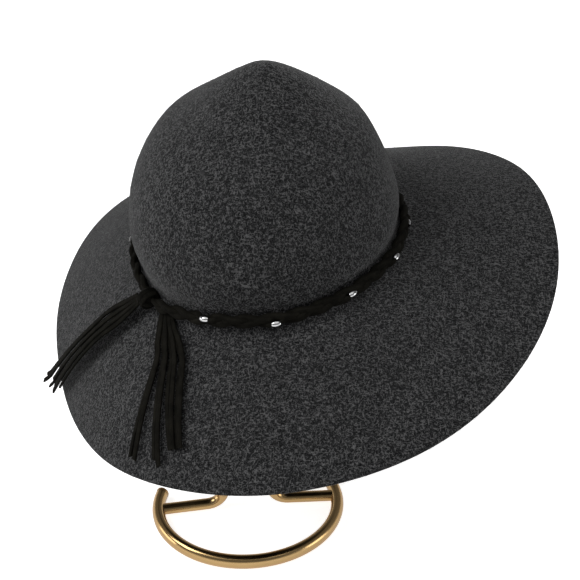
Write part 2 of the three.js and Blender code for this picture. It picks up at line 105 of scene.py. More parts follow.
def pick(piece, kind, test):
    """Selects only the verts, edges or faces that pass a test, in edit mode, and counts them."""
    take(piece)
    bpy.ops.object.mode_set(mode="EDIT")
    bpy.ops.mesh.select_mode(type=kind[:-1].upper())
    bpy.ops.mesh.select_all(action="DESELECT")
    shape = bmesh.from_edit_mesh(piece.data)
    found = [part for part in getattr(shape, kind) if test(part)]
    for part in found:
        part.select = True
    shape.select_flush_mode()
    bmesh.update_edit_mesh(piece.data)
    return len(found)


def edit_all(piece):
    """In edit mode, selects the whole of a piece."""
    take(piece)
    bpy.ops.object.mode_set(mode="EDIT")
    bpy.ops.mesh.select_all(action="SELECT")


def finish_mesh(piece, smooth_angle):
    """Closes seams, turns faces outwards and smooths all but sharp edges."""
    edit_all(piece)
    bpy.ops.mesh.remove_doubles(threshold=SEAM_GAP)
    bpy.ops.mesh.normals_make_consistent(inside=False)
    bpy.ops.object.mode_set(mode="OBJECT")
    bpy.ops.object.shade_smooth_by_angle(angle=math.radians(smooth_angle))
    piece.data.update()


def dress(piece, finish):
    """Gives a piece one finish and no other."""
    piece.data.materials.clear()
    piece.data.materials.append(finish)


def merge(parts, name):
    """Joins all parts into the first of them."""
    take(parts[0])
    for part in parts[1:]:
        part.select_set(True)
    bpy.ops.object.join()
    parts[0].name = name


def tell(piece):
    """Prints how big a piece is and how many triangles it has."""
    triangles = sum(len(face.vertices) - 2 for face in piece.data.polygons)
    spans = [round(side / MM, 1) for side in piece.dimensions]
    print(f"{piece.name}: {spans} mm, {triangles} triangles")


# %% [markdown]
# The band, the beads and the tassels all follow the hat's oval, and the oval leans with the
# hat. Pulling vertices about by eye would never meet the solids, so the oval is written down
# once as a formula, with the same numbers as the solids have.

# %% The hat's oval and its brim
HAT_CENTRE = Vector((19.4, -18.7, 266)) * MM
HAT_LEAN = (
    Matrix.Rotation(math.radians(-8.6), 3, "Y")
    @ Matrix.Rotation(math.radians(-1.8), 3, "X")
    @ Matrix.Rotation(math.radians(7.5), 3, "Z")
)
BASE_WIDTH = 167.4 * MM
BASE_LENGTH = 192.2 * MM
BASE_BOW = 6.4 * MM
BRIM_DROOP = (3.3, 10, 21.4, 22.7, 23.5, 35.1, 46.6, 46, 36.9, 31.3, 27.1, 15.1)
BRIM_WIDTH = (102.3, 106, 102, 109.5, 121.2, 114.6, 113.2, 106.6, 102.5, 105.2, 108.4, 107.2)
BRIM_BOW = 5 * MM
BOW_DROOP = 35


def oval_point(angle):
    across = BASE_WIDTH / 2 * math.cos(angle) - BASE_BOW * math.sin(angle) ** 2
    return Vector((across, BASE_LENGTH / 2 * math.sin(angle), 0))


def oval_outward(angle):
    across = (BASE_WIDTH / 2 + 2 * BASE_BOW * math.cos(angle)) * math.sin(angle)
    return Vector((BASE_LENGTH / 2 * math.cos(angle), across, 0)).normalized()


def cube_step(start, end, slope, last, share):
    """A smooth step from start to end, with a first and a last slope."""
    cube = 2 * start - 2 * end + slope + last
    square = 3 * end - 3 * start - 2 * slope - last
    return ((cube * share + square) * share + slope) * share + start


def round_the_brim(values, angle):
    """The value at an angle, from a list that goes round the brim in equal steps."""
    place = (angle / TURN) % 1 * len(values)
    row = int(place)
    before, start, end, after = (values[(row + k) % len(values)] for k in (-1, 0, 1, 2))
    return cube_step(start, end, (end - before) / 2, (after - start) / 2, place - row)


def brim_point(reach, angle, lift=0.0):
    """A point over the brim: reach is a share of its width, lift the height over the felt."""
    droop = math.radians(round_the_brim(BRIM_DROOP, angle))
    length = round_the_brim(BRIM_WIDTH, angle) * MM * reach
    bow = 4 * reach * (1 - reach) * BRIM_BOW * droop / math.radians(BOW_DROOP)
    height = max(bow, 0) + lift
    out = length * math.cos(droop) + height * math.sin(droop)
    point = oval_point(angle) + oval_outward(angle) * out
    point.z += height * math.cos(droop) - length * math.sin(droop)
    return HAT_LEAN @ point + HAT_CENTRE


def brim_normal(reach, angle):
    step = 0.02
    out = brim_point(reach + step, angle) - brim_point(reach - step, angle)
    around = brim_point(reach, angle + step) - brim_point(reach, angle - step)
    return out.cross(around).normalized()


# %% [markdown]
# The braid repeats thirteen times round the crown. Its middle line is the oval moved out by
# the braid's own thickness, walked by length so that all repeats are equally long. Beside the
# knot it is pulled outwards, and a little further on it rides up the crown. Three laces swing
# up and down a third of a repeat apart, and in and out twice as often, which is the path of a
# flat three-strand plait. Each bead has slipped a little from its even place.

# %% The braid's line
BAND_OUT = 6.1 * MM
BAND_UP = 5.3 * MM
REPEATS = 13
KNOT_SHARE = 0.59
FIRST_BEAD = 0.0786
BEAD_PHASE = math.radians(-30)
LACE_RISE = 2.1 * MM
LACE_DEPTH = 1.3 * MM
BEAD_OUT = 1.5 * MM
# where the band strays: middle and half length as shares of the way round, out and up in mm
STRAYS = ((0.607, 0.036, 2.4, 0), (0.69, 0.075, 0.5, 2.2))
# how far each bead has slipped, as a share of the way round, and which lace carries it
BEAD_SLIPS = (
    0.0055, -0.0025, 0.0032, 0, -0.0105, -0.004, 0.003, -0.002, -0.006, -0.018, -0.032, -0.05,
)
BEAD_LACES = (1, 0, 0, 0, 0, 0, 0, 0, 0, 2, 1, 2)
BEADS = len(BEAD_LACES)
WALK_POINTS = 1441

walk_angles = np.linspace(0, TURN, WALK_POINTS)
walk = [oval_point(angle) + oval_outward(angle) * BAND_OUT for angle in walk_angles]
lengths = np.concatenate([[0], np.cumsum([(b - a).length for a, b in zip(walk, walk[1:])])])
BAND_LENGTH = float(lengths[-1])


def band_stray(share):
    """How far the band strays outwards and up at a share of the way round."""
    strayed = Vector((0, 0))
    for middle, span, out, up in STRAYS:
        away = min(abs(share % 1 - middle) / span, 1)
        strayed += Vector((out, up)) * MM * math.cos(away * TURN / 4) ** 2
    return strayed


def band_frame(share):
    """The braid's middle at a share of the way round, and its directions out, up and along."""
    angle = float(np.interp(share % 1 * BAND_LENGTH, lengths, walk_angles))
    strayed = band_stray(share)
    centre = oval_point(angle) + oval_outward(angle) * (BAND_OUT + strayed.x)
    centre.z += BAND_UP + strayed.y
    out, up = HAT_LEAN @ oval_outward(angle), HAT_LEAN @ Vector((0, 0, 1))
    return HAT_LEAN @ centre + HAT_CENTRE, out, up, up.cross(out)


def lace_swing(phase):
    """How far out and how far up a lace lies from the braid's middle."""
    return -LACE_DEPTH * math.sin(2 * phase), LACE_RISE * math.sin(phase)


def braid_phase(share):
    return TURN * REPEATS * (share - KNOT_SHARE - FIRST_BEAD) + BEAD_PHASE


def bead_share(number):
    return KNOT_SHARE + FIRST_BEAD + number / REPEATS + BEAD_SLIPS[number]


def bead_place(number):
    share = bead_share(number)
    centre, out, up, _ = band_frame(share)
    swing_out, swing_up = lace_swing(braid_phase(share) + BEAD_LACES[number] * TURN / 3)
    return centre + out * (swing_out + BEAD_OUT) + up * swing_up


low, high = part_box("bead_1")
SHIFT = (low + high) / 2 - bead_place(0)
misfits = []
for number in range(BEADS):
    low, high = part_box(f"bead_{number + 1}")
    misfits.append(((low + high) / 2 - bead_place(number) - SHIFT).length / MM)
print(f"band {BAND_LENGTH / MM:.1f} mm long, shift {[round(c / MM, 2) for c in SHIFT]} mm")
print(f"beads lie within {max(misfits):.3f} mm of the solids")

# %% [markdown]
# The camera comes before the pieces, so that each can be looked at as soon as it exists. It
# looks down on the hat from a little over head height, through a moderately long lens.

# %% Camera
CAMERA_PLACE = Vector((33.4, -678.7, 711.9)) * MM + SHIFT
CAMERA_DOWN = math.radians(36.6)
CAMERA_ROLL = math.radians(0.5)
SENSOR_WIDTH = 36
FOCAL_LENGTH = 74.48
FAR_END = 100

camera = add_object("camera", bpy.data.cameras.new("camera"))
camera.data.sensor_width = SENSOR_WIDTH
camera.data.lens = FOCAL_LENGTH
camera.data.clip_end = FAR_END
camera.matrix_world = (
    Matrix.Translation(CAMERA_PLACE)
    @ Matrix.Rotation(math.radians(90) - CAMERA_DOWN, 4, "X")
    @ Matrix.Rotation(CAMERA_ROLL, 4, "Z")
)
bpy.context.scene.camera = camera
print("camera at", [round(c, 4) for c in CAMERA_PLACE])

# %% [markdown]
# Nothing here is painted from a picture: each finish is a small web of shader nodes that
# reads the object's own coordinates. Effects that more than one finish shares are built as
# node groups with named sockets. The helpers keep node making short.

# %% Helpers for shader nodes
# where a node that mixes colours takes its two colours, and where it gives the mixed one
COLOUR_A = 6
COLOUR_B = 7
MIXED = 2


def add_node(tree, kind, values=None, **settings):
    """A new node. Values go to its sockets, by name or number, and settings to the node."""
    node = tree.nodes.new(kind)
    for name, value in settings.items():
        setattr(node, name, value)
    for socket, value in (values or {}).items():
        node.inputs[socket].default_value = value
    return node


def add_ramp(tree, low, dark, high, light):
    """A colour ramp from a dark colour at the low place to a light one at the high place."""
    ramp = add_node(tree, "ShaderNodeValToRGB")
    for stop, place, colour in zip(ramp.color_ramp.elements, (low, high), (dark, light)):
        stop.position = place
        stop.color = (*colour, 1)
    return ramp


def add_bump(tree, height, shader, strength, distance):
    """Relief on a shader, from the socket that gives the height."""
    bump = add_node(tree, "ShaderNodeBump", {"Strength": strength, "Distance": distance})
    join(tree, (height, bump.inputs["Height"]), (bump.outputs["Normal"], shader.inputs["Normal"]))


def make_group(name, inputs, outputs):
    """An empty node group with float or vector inputs and its outputs."""
    group = bpy.data.node_groups.new(name, "ShaderNodeTree")
    for socket, value in inputs.items():
        kind = "NodeSocketVector" if value is None else "NodeSocketFloat"
        made = group.interface.new_socket(socket, in_out="INPUT", socket_type=kind)
        if value is not None:
            made.default_value = value
    for socket in outputs:
        group.interface.new_socket(socket, in_out="OUTPUT", socket_type="NodeSocketFloat")
    return group, add_node(group, "NodeGroupInput"), add_node(group, "NodeGroupOutput")


def join(tree, *pairs):
    for source, target in pairs:
        tree.links.new(source, target)


def place_group(tree, name, values):
    return add_node(tree, "ShaderNodeGroup", values, node_tree=bpy.data.node_groups[name])


def new_material(name, values):
    """A material with one Principled BSDF, its uniform values set on the shader itself."""
    material = bpy.data.materials.new(name)
    material.use_nodes = True
    shader = material.node_tree.nodes["Principled BSDF"]
    for socket, value in values.items():
        shader.inputs[socket].default_value = value
    coordinates = add_node(material.node_tree, "ShaderNodeTexCoord")
    return material, shader, coordinates.outputs["Object"]


# %% [markdown]
# Wool felt and suede both have a nap: soft clouds of lighter and darker pile with a fine
# grain in them. One noise for the clouds and one for the grain, mixed, give the shade, and
# the grain alone gives the height that a Bump node turns into relief.

# %% Group: nap
nap, nap_in, nap_out = make_group(
    "nap",
    {"Place": None, "Cloud scale": 200, "Grain scale": 1500, "Grain share": 0.5},
    ["Shade", "Height"],
)
clouds = add_node(nap, "ShaderNodeTexNoise", {"Detail": 3})
grain = add_node(nap, "ShaderNodeTexNoise", {"Detail": 4, "Roughness": 0.65})
blend = add_node(nap, "ShaderNodeMix")
join(
    nap,
    (nap_in.outputs["Place"], clouds.inputs["Vector"]),
    (nap_in.outputs["Cloud scale"], clouds.inputs["Scale"]),
    (nap_in.outputs["Place"], grain.inputs["Vector"]),
    (nap_in.outputs["Grain scale"], grain.inputs["Scale"]),
    (nap_in.outputs["Grain share"], blend.inputs["Factor"]),
    (clouds.outputs["Fac"], blend.inputs["A"]),
    (grain.outputs["Fac"], blend.inputs["B"]),
    (blend.outputs["Result"], nap_out.inputs["Shade"]),
    (grain.outputs["Fac"], nap_out.inputs["Height"]),
)
print("group nap:", len(nap.nodes), "nodes")

# %% [markdown]
# Single hairs show as short bright strokes. A noise crosses its middle value along thin
# curling lines, so the lines where it is nearly one half are kept, and a second, coarser
# noise breaks them into strokes. The material places this group several times, turned and
# stretched differently, so that the hairs cross.

# %% Group: hairs
hairs, hairs_in, hairs_out = make_group(
    "hairs", {"Place": None, "Scale": 300, "Width": 0.03, "Bareness": 0.5}, ["Mask"]
)
lines = add_node(hairs, "ShaderNodeTexNoise", {"Detail": 0.6})
off_middle = add_node(hairs, "ShaderNodeMath", {1: 0.5}, operation="SUBTRACT")
distance = add_node(hairs, "ShaderNodeMath", operation="ABSOLUTE")
thin = add_node(hairs, "ShaderNodeMapRange", {"To Min": 1, "To Max": 0})
breaks = add_node(hairs, "ShaderNodeTexNoise", {"Scale": 850, "Detail": 1})
fade = add_node(hairs, "ShaderNodeMath", {1: 0.08}, operation="ADD")
strokes = add_node(hairs, "ShaderNodeMapRange")
both = add_node(hairs, "ShaderNodeMath", operation="MULTIPLY")
join(
    hairs,
    (hairs_in.outputs["Place"], lines.inputs["Vector"]),
    (hairs_in.outputs["Scale"], lines.inputs["Scale"]),
    (lines.outputs["Fac"], off_middle.inputs[0]),
    (off_middle.outputs[0], distance.inputs[0]),
    (distance.outputs[0], thin.inputs["Value"]),
    (hairs_in.outputs["Width"], thin.inputs["From Max"]),
    (hairs_in.outputs["Place"], breaks.inputs["Vector"]),
    (hairs_in.outputs["Bareness"], fade.inputs[0]),
    (breaks.outputs["Fac"], strokes.inputs["Value"]),
    (hairs_in.outputs["Bareness"], strokes.inputs["From Min"]),
    (fade.outputs[0], strokes.inputs["From Max"]),
    (thin.outputs["Result"], both.inputs[0]),
    (strokes.outputs["Result"], both.inputs[1]),
    (both.outputs[0], hairs_out.inputs["Mask"]),
)
print("group hairs:", len(hairs.nodes), "nodes")

# %% [markdown]
# Polished metal is never quite even: handling leaves faint cloudy patches that reflect more
# softly, and polishing leaves a ripple too small to see as a shape. The stand and the beads
# share one group for both.

# %% Group: handled metal
metal, metal_in, metal_out = make_group(
    "handled metal",
    {"Place": None, "Patch scale": 30, "Ripple scale": 700, "Smooth": 0.12, "Dull": 0.3},
    ["Roughness", "Shade", "Height"],
)
patches = add_node(metal, "ShaderNodeTexNoise", {"Detail": 5})
ripple = add_node(metal, "ShaderNodeTexNoise", {"Detail": 2})
dullness = add_node(metal, "ShaderNodeMapRange", {"From Min": 0.35, "From Max": 0.7})
join(
    metal,
    (metal_in.outputs["Place"], patches.inputs["Vector"]),
    (metal_in.outputs["Patch scale"], patches.inputs["Scale"]),
    (metal_in.outputs["Place"], ripple.inputs["Vector"]),
    (metal_in.outputs["Ripple scale"], ripple.inputs["Scale"]),
    (patches.outputs["Fac"], dullness.inputs["Value"]),
    (metal_in.outputs["Smooth"], dullness.inputs["To Min"]),
    (metal_in.outputs["Dull"], dullness.inputs["To Max"]),
    (dullness.outputs["Result"], metal_out.inputs["Roughness"]),
    (patches.outputs["Fac"], metal_out.inputs["Shade"]),
    (ripple.outputs["Fac"], metal_out.inputs["Height"]),
)
print("group handled metal:", len(metal.nodes), "nodes")

# %% [markdown]
# The felt is blended from dark and light wool, so it is a heather: near black clouds, mid
# grey clouds, and pale hairs over both. Felt has no gloss, only a faint sheen where the pile
# stands against the light.

# %% Finish: wool felt
# how each layer of hairs is turned, and how its coordinates are stretched
HAIR_LAYERS = (
    ((0.3, 0.2, 0.1), (1, 0.35, 0.6)),
    ((1.2, 0.6, 2.0), (0.35, 1, 0.7)),
    ((2.3, 1.4, 0.8), (0.6, 0.8, 0.35)),
)

felt_finish, shader, here = new_material(
    "wool_felt",
    {"Roughness": 0.96, "Sheen Weight": 0.2, "Sheen Roughness": 0.3, "Specular IOR Level": 0.1},
)
web = felt_finish.node_tree
pile = place_group(web, "nap", {"Cloud scale": 300, "Grain scale": 2000, "Grain share": 0.9})
heather = add_ramp(web, 0.45, (0.0006, 0.0007, 0.0009), 0.57, (0.034, 0.0344, 0.0355))
join(web, (here, pile.inputs["Place"]), (pile.outputs["Shade"], heather.inputs["Fac"]))
mask = None
for turned, stretched in HAIR_LAYERS:
    mapping = add_node(web, "ShaderNodeMapping", {"Rotation": turned, "Scale": stretched})
    layer = place_group(web, "hairs", {"Scale": 900, "Width": 0.065, "Bareness": 0.5})
    join(web, (here, mapping.inputs["Vector"]), (mapping.outputs[0], layer.inputs["Place"]))
    if mask is None:
        mask = layer.outputs["Mask"]
    else:
        most = add_node(web, "ShaderNodeMath", operation="MAXIMUM")
        join(web, (mask, most.inputs[0]), (layer.outputs["Mask"], most.inputs[1]))
        mask = most.outputs[0]
soften = add_node(web, "ShaderNodeMath", {1: 0.85}, operation="MULTIPLY")
coat = add_node(web, "ShaderNodeMix", {COLOUR_B: (0.15, 0.15, 0.152, 1)}, data_type="RGBA")
raised = add_node(web, "ShaderNodeMath", operation="ADD")
join(
    web,
    (mask, soften.inputs[0]),
    (soften.outputs[0], coat.inputs["Factor"]),
    (heather.outputs["Color"], coat.inputs[COLOUR_A]),
    (coat.outputs[MIXED], shader.inputs["Base Color"]),
    (pile.outputs["Height"], raised.inputs[0]),
    (soften.outputs[0], raised.inputs[1]),
)
add_bump(web, raised.outputs[0], shader, strength=0.5, distance=0.6 * MM)
print("finish wool_felt:", len(web.nodes), "nodes")

# %% [markdown]
# The loose fuzz on the felt is the same wool, one hair at a time. A hair is too thin for
# clouds, so a single coarse noise picks its shade, and most hairs come out darker than the
# few pale ones that catch the eye.

# %% Finish: loose wool hairs
fuzz_finish, shader, here = new_material("wool_fuzz", {"Roughness": 0.9})
web = fuzz_finish.node_tree
pile = place_group(web, "nap", {"Cloud scale": 160, "Grain scale": 500, "Grain share": 0.5})
shade = add_ramp(web, 0.4, (0.012, 0.0122, 0.0135), 0.68, (0.11, 0.11, 0.113))
join(
    web,
    (here, pile.inputs["Place"]),
    (pile.outputs["Shade"], shade.inputs["Fac"]),
    (shade.outputs["Color"], shader.inputs["Base Color"]),
)
print("finish wool_fuzz:", len(web.nodes), "nodes")

# %% [markdown]
# Suede is leather with its flesh side raised. It swallows light, so it is nearly black here,
# with a warm cast and small scuffed places where the nap lies the other way.

# %% Finish: suede
suede_finish, shader, here = new_material(
    "black_suede", {"Roughness": 0.9, "Specular IOR Level": 0.04}
)
web = suede_finish.node_tree
pile = place_group(web, "nap", {"Cloud scale": 170, "Grain scale": 1600, "Grain share": 0.5})
scuffs = add_ramp(web, 0.38, (0.003, 0.0029, 0.0023), 0.68, (0.0135, 0.0126, 0.0098))
join(
    web,
    (here, pile.inputs["Place"]),
    (pile.outputs["Shade"], scuffs.inputs["Fac"]),
    (scuffs.outputs["Color"], shader.inputs["Base Color"]),
)
add_bump(web, pile.outputs["Height"], shader, strength=0.3, distance=0.25 * MM)
print("finish black_suede:", len(web.nodes), "nodes")

# %% [markdown]
# Gold and silver are the same handled metal with other colours and other wear, so one
# function makes both. Towards its outline as seen, each metal's colour is painted darker, a
# painted shade that stands for dark surroundings mirrored there: the gold turns browner, and
# the silver nearly black.

# %% Finishes: gold and silver


def metal_finish(name, dark, light, painted_outline_shade, values):
    """A metal between two colours, turned to a third towards its silhouette as painted shade.
    Values go to the shared group.
    """
    material, shader, here = new_material(name, {"Metallic": 1})
    web = material.node_tree
    handled = place_group(web, "handled metal", values)
    tint = add_node(web, "ShaderNodeMix", {COLOUR_A: dark, COLOUR_B: light}, data_type="RGBA")
    # painted shade: by the view's facing, the colour turns to the third one towards the outline,
    # standing for dark surroundings mirrored there
    edge = add_node(web, "ShaderNodeLayerWeight", {"Blend": 0.55})
    outline_shade_mix = add_node(web, "ShaderNodeMix", {COLOUR_B: painted_outline_shade}, data_type="RGBA")
    join(
        web,
        (here, handled.inputs["Place"]),
        (handled.outputs["Shade"], tint.inputs["Factor"]),
        (edge.outputs["Facing"], outline_shade_mix.inputs["Factor"]),
        (tint.outputs[MIXED], outline_shade_mix.inputs[COLOUR_A]),
        (outline_shade_mix.outputs[MIXED], shader.inputs["Base Color"]),
        (handled.outputs["Roughness"], shader.inputs["Roughness"]),
    )
    add_bump(web, handled.outputs["Height"], shader, strength=0.12, distance=0.05 * MM)
    print(f"finish {name}: {len(web.nodes)} nodes")
    return material


# the third colour of each metal is its painted shade at the outline: browner gold, nearly black
# silver
gold_finish = metal_finish(
    "gold_metal", (0.4, 0.27, 0.12, 1), (0.5, 0.34, 0.16, 1), (0.3, 0.18, 0.075, 1),
    {"Patch scale": 35, "Ripple scale": 240, "Smooth": 0.16, "Dull": 0.26},
)
silver_finish = metal_finish(
    "silver_metal", (0.45, 0.45, 0.46, 1), (0.75, 0.75, 0.75, 1), (0.006, 0.006, 0.006, 1),
    {"Patch scale": 300, "Ripple scale": 900, "Smooth": 0.1, "Dull": 0.2},
)

# %% [markdown]
# The hat's body is one blocked sheet of felt: crown and brim in one wall 2.5 mm thick. The
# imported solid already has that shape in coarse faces. Its mesh is left alone, and a copy is
# cleaned up: doubles merged, triangles joined to quads, and the cut rim's two edges beveled
# a little, so that the subdivision keeps the rim square with a soft edge.

# %% Felt hat: copy and clean the solid
RIM_BEVEL = 0.45 * MM
RIM_ANGLE = math.radians(55)
QUAD_ANGLE = math.radians(70)
# where this many edges meet is the middle of the crown's top, and triangles stay triangles
POLE_EDGES = 12


def rim_edge(edge):
    """Whether two faces meet at this edge as sharply as they do at the felt's cut rim."""
    return len(edge.link_faces) == 2 and edge.calc_face_angle() > RIM_ANGLE


felt = add_object("felt_hat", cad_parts["felt_body"].data.copy())
edit_all(felt)
bpy.ops.mesh.remove_doubles(threshold=SOLID_GAP)
pick(felt, "faces", lambda face: all(len(corner.link_edges) < POLE_EDGES for corner in face.verts))
bpy.ops.mesh.tris_convert_to_quads(face_threshold=QUAD_ANGLE, shape_threshold=QUAD_ANGLE)
print("rim edges:", pick(felt, "edges", rim_edge))
bpy.ops.mesh.bevel(offset=RIM_BEVEL, segments=2, affect="EDGES")
tell(felt)

# %% Felt hat: smooth it
take(felt)
dress(felt, felt_finish)
rounding = felt.modifiers.new("rounding", "SUBSURF")
rounding.levels = rounding.render_levels = 2
bpy.ops.object.modifier_apply(modifier="rounding")
finish_mesh(felt, smooth_angle=60)
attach(felt, "root")
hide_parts("felt_body")
tell(felt)

# %% [markdown]
# Every lace, plaited or hanging, starts as a straight strip along X. A cube is drawn out to
# the lace's size, its long edges are beveled, and it is cut into short lengths so that it can
# bend. One cutting makes at most a hundred cuts, so a long piece is cut twice. Then each vertex
# is carried to its place on a path: X says how far along, Y is across and Z is through it.

# %% A straight lace, and laying it along a path


def cut_across(piece, rounds):
    """Cuts a straight piece into equal short lengths: each round divides every length again."""
    for parts in rounds:
        pick(piece, "edges", lambda edge: abs(edge.verts[0].co.x - edge.verts[1].co.x) > MM / 5)
        bpy.ops.mesh.subdivide(number_cuts=parts - 1)
    let_go()


def straight_strip(name, length, width, thickness, rounds, bevel, segments):
    """A strip along X from 0 to its length, cut across so that it can bend."""
    let_go()
    bpy.ops.mesh.primitive_cube_add(
        size=1, location=(length / 2, 0, 0), scale=(length, width, thickness)
    )
    strip = bpy.context.object
    strip.name = name
    bpy.ops.object.transform_apply(location=True, rotation=True, scale=True)
    pick(strip, "edges", lambda edge: abs(edge.verts[0].co.x - edge.verts[1].co.x) > length / 2)
    bpy.ops.mesh.bevel(offset=bevel, segments=segments, affect="EDGES")
    cut_across(strip, rounds)
    dress(strip, suede_finish)
    return strip


def lay_along(piece, place_at):
    """Carries a straight piece onto a path. place_at(x) gives its middle, across and through."""
    known = {}
    for corner in piece.data.vertices:
        key = round(corner.co.x / MM, 3)
        if key not in known:
            known[key] = place_at(corner.co.x)
        middle, across, through = known[key]
        corner.co = middle + across * corner.co.y + through * corner.co.z + SHIFT
    piece.data.update()


def drop_ends(piece):
    """Deletes the two end faces of a straight piece, for one that closes on itself."""
    pick(piece, "faces", lambda face: abs(face.normal.x) > ALONG)
    bpy.ops.mesh.delete(type="FACE")
    let_go()


# %% [markdown]
# The plait. One straight lace as long as the band is copied three times, and each copy is
# laid on its own swinging path, a third of a repeat after the one before. The lace that
# carries a bead stands out from the plait there and is pulled thin, because the bead's hole
# squeezes it. Beside the knot the plait is drawn tight, so its laces lie closer together.

# %% Braided band
LACE_WIDE = 4.3 * MM
LACE_THICK = 3.5 * MM
LACE_BEVEL = 1.25 * MM
LACE_CUTS = 26
BEAD_LENGTH = 5.4 * MM
THREAD = 2.1 * MM
# how far from a bead's middle a lace is fully changed and no longer changed, in bead lengths
LIFTED = (0.55, 1.3)
SQUEEZED = (0.5, 0.9)
# the plait is drawn tight up to one distance from the knot, and loose again from the other
TIGHT = (5 * MM, 15 * MM)
TIGHT_SWING = 0.45
TIGHT_SIZE = 0.75


def smooth_step(value):
    value = min(max(value, 0), 1)
    return value * value * (3 - 2 * value)


def round_way(share, other):
    """The length along the band between two shares of the way round."""
    return abs((share - other + 0.5) % 1 - 0.5) * BAND_LENGTH


def bead_nearness(strand, share, reach):
    """1 near a bead on this lace, falling to 0 further away. reach is in bead lengths."""
    full, faded = reach[0] * BEAD_LENGTH, reach[1] * BEAD_LENGTH
    own = [number for number, carrier in enumerate(BEAD_LACES) if carrier == strand]
    nearest = min((round_way(share, bead_share(number)) for number in own), default=faded)
    return smooth_step((faded - nearest) / (faded - full))


def tightness(share):
    """How tightly the plait is drawn: 1 at the knot, 0 away from it."""
    return smooth_step((TIGHT[1] - round_way(share, KNOT_SHARE)) / (TIGHT[1] - TIGHT[0]))


def braid_place(strand, share):
    """The middle of one lace of the plait, and its directions across and through."""

    def middle(at):
        centre, out, up, _ = band_frame(at)
        swing_out, swing_up = lace_swing(braid_phase(at) + strand * TURN / 3)
        lifted = bead_nearness(strand, at, LIFTED) * BEAD_OUT
        held = 1 - (1 - TIGHT_SWING) * tightness(at)
        return centre + out * (swing_out * held + lifted) + up * swing_up * held

    step = 0.0004
    ahead = (middle(share + step) - middle(share - step)).normalized()
    _, out, up, _ = band_frame(share)
    through = (out - ahead * out.dot(ahead)).normalized()
    squeeze = bead_nearness(strand, share, SQUEEZED)
    drawn = 1 - (1 - TIGHT_SIZE) * tightness(share)
    wide = drawn * (1 - squeeze * (1 - THREAD / LACE_WIDE))
    thick = drawn * (1 - squeeze * (1 - THREAD / LACE_THICK))
    return middle(share), through.cross(ahead) * wide, through * thick


plait_lace = straight_strip(
    "plait_lace", BAND_LENGTH, LACE_WIDE, LACE_THICK, (REPEATS, LACE_CUTS), LACE_BEVEL,
    segments=3,
)
drop_ends(plait_lace)
for strand in range(3):
    lace = add_object(f"braid_lace_{strand + 1}", plait_lace.data.copy())
    lay_along(lace, lambda x, strand=strand: braid_place(strand, x / BAND_LENGTH))
    finish_mesh(lace, smooth_angle=80)
    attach(lace, "root")
    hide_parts("band")
    tell(lace)
bpy.data.objects.remove(plait_lace)

# %% [markdown]
# The beads are little silver barrels with a hole from end to end. A cylinder is cut across into
# rings, and each ring is scaled until the belly is round and the ends are narrow. The ends are
# inset to leave a lip, and the two inner faces are deleted and bridged, which is how a hole is
# made by hand. The bead is modelled once at the origin and copied to each place.

# %% Silver beads
BEAD_RADIUS = 2.3 * MM
BEAD_LIP = 0.66
BEAD_WALL = 0.28 * MM
BEAD_SIDES = 28
BEAD_CUTS = 11

let_go()
bpy.ops.mesh.primitive_cylinder_add(vertices=BEAD_SIDES, radius=BEAD_RADIUS, depth=BEAD_LENGTH)
barrel = bpy.context.object
barrel.name = "barrel"
pick(barrel, "edges", lambda edge: abs(edge.verts[0].co.z - edge.verts[1].co.z) > MM)
bpy.ops.mesh.subdivide(number_cuts=BEAD_CUTS)
for ring in range(BEAD_CUTS + 2):
    height = (2 * ring / (BEAD_CUTS + 1) - 1) * BEAD_LENGTH / 2
    pick(barrel, "verts", lambda corner, height=height: abs(corner.co.z - height) < MM / 50)
    narrow = math.sqrt(1 - (2 * height / BEAD_LENGTH) ** 2 * (1 - BEAD_LIP ** 2))
    bpy.ops.transform.resize(value=(narrow, narrow, 1), center_override=(0, 0, height))
pick(barrel, "faces", lambda face: abs(face.normal.z) > ALONG)
bpy.ops.mesh.inset(thickness=BEAD_WALL)
bpy.ops.mesh.delete(type="FACE")
pick(barrel, "edges", lambda edge: edge.is_boundary)
bpy.ops.mesh.bridge_edge_loops()
let_go()
dress(barrel, silver_finish)
finish_mesh(barrel, smooth_angle=40)
for number in range(BEADS):
    bead = add_object(f"silver_bead_{number + 1}", barrel.data.copy())
    _, out, _, along = band_frame(bead_share(number))
    turn = Matrix((out, out.cross(along), along)).transposed().to_4x4()
    turn.translation = bead_place(number) + SHIFT
    bead.data.transform(turn)
    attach(bead, "root")
    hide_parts(f"bead_{number + 1}")
tell(bead)
bpy.data.objects.remove(barrel)

# %% [markdown]
# The knot is where the band's laces are tied. Its heart is a ball, pressed into an oval, and
# laces are wound round it in leaning turns that cross. A spun ring would look like a doughnut,
# so each turn is a flat lace laid round a circle, a little closer in where it crosses another.

# %% Knot
KNOT_HEART = Vector((5.2, 4.6, 6.2)) * MM
KNOT_OUT = 2 * MM
WRAP_RADIUS = 5.4 * MM
WRAP_LENGTH = TURN * WRAP_RADIUS
WRAP_WIDE = 3.6 * MM
WRAP_THICK = 2.6 * MM
WRAP_BEVEL = 0.9 * MM
WRAP_CUTS = 48
# lean and roll in degrees, shift along the band and change of radius in millimetres
WRAPS = ((24, 0, -1.3, 0.3), (22, 4, 1.9, 0.0), (-30, 18, -0.6, -0.5), (-34, 12, 2.4, -0.7))

knot_centre, knot_out, knot_up, knot_along = band_frame(KNOT_SHARE)
knot_centre = knot_centre + knot_out * KNOT_OUT
knot_frame = Matrix((knot_along, -knot_out, knot_up)).transposed()

